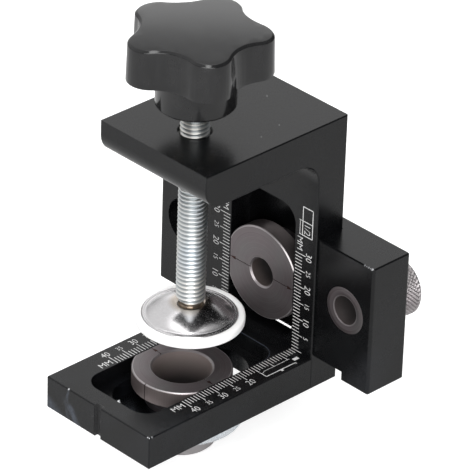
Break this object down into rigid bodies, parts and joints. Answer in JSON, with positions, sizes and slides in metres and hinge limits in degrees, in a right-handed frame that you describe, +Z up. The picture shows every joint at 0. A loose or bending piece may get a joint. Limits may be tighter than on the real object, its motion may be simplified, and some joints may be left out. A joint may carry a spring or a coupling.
{
  "type": "self centering doweling jig",
  "caption": "Hand jig for dowel holes: an L bracket and base plate with sliding guide bushes, a side bar with bush blocks, and a star knob clamp screw with a swivel foot",
  "frame": {"origin": "inner corner of the frame on the middle plane, where the top of the base plate meets the inner face of the wall, which is the zero of both scales", "axes": "+X across the width towards the block that holds the side bush, -Y from the wall towards the free end of the base plate, +Z up along the clamp screw towards the knob"},
  "size_m": [0.0806, 0.081, 0.1235],
  "materials": {
    "black_anodised": "satin black anodised aluminium",
    "black_oxide": "black oxide steel",
    "zinc": "bright zinc plated steel with a blue tint",
    "chrome": "polished plating",
    "gunmetal": "dark hardened steel, fine turned",
    "gloss_black_plastic": "glossy black plastic",
    "white_plastic": "white nylon",
    "brass": "turned brass"
  },
  "bodies": {
    "frame": {"upright_bracket": "black_anodised", "base_plate": "black_anodised", "base_plate_screws": "black_oxide"},
    "foot": {"foot_dome": "chrome", "foot_cap": "white_plastic"},
    "screw": {"clamp_screw": "zinc", "star_knob": "gloss_black_plastic", "knob_insert": "brass"},
    "lower_bush": {"base_bush": "gunmetal"},
    "lower_nut": {"base_nut": "zinc"},
    "carriage": {"wall_bush": "gunmetal", "side_bar": "black_anodised"},
    "rear_nut": {"wall_nut": "zinc"},
    "loose_bush": {"side_bush": "gunmetal"}
  },
  "joints": [
    {"name": "foot_slide", "type": "slide", "parent": "frame", "child": "foot", "axis": [0, 0, 1], "range_m": [-0.0077, 0.04]},
    {"name": "screw_turn", "type": "hinge", "parent": "foot", "child": "screw", "pos_m": [0, -0.026, 0.0167], "axis": [0, 0, 1], "range_deg": [-2218, 11521]},
    {"name": "lower_bush_slide", "type": "slide", "parent": "frame", "child": "lower_bush", "axis": [0, 1, 0], "range_m": [-0.0108, 0.0098]},
    {"name": "lower_nut_turn", "type": "hinge", "parent": "lower_bush", "child": "lower_nut", "pos_m": [0, -0.0283, -0.01215], "axis": [0, 0, 1], "continuous": true},
    {"name": "carriage_slide", "type": "slide", "parent": "frame", "child": "carriage", "axis": [0, 0, 1], "range_m": [-0.0026, 0.0117]},
    {"name": "rear_nut_turn", "type": "hinge", "parent": "carriage", "child": "rear_nut", "pos_m": [0, 0.01685, 0.01775], "axis": [0, 1, 0], "continuous": true},
    {"name": "side_bush_slide", "type": "slide", "parent": "carriage", "child": "loose_bush", "axis": [0, 1, 0], "range_m": [0, 0.022]}
  ],
  "couplings": [
    {"joint": "screw_turn", "follows": "foot_slide", "rad_per_m": 5026.5}
  ]
}
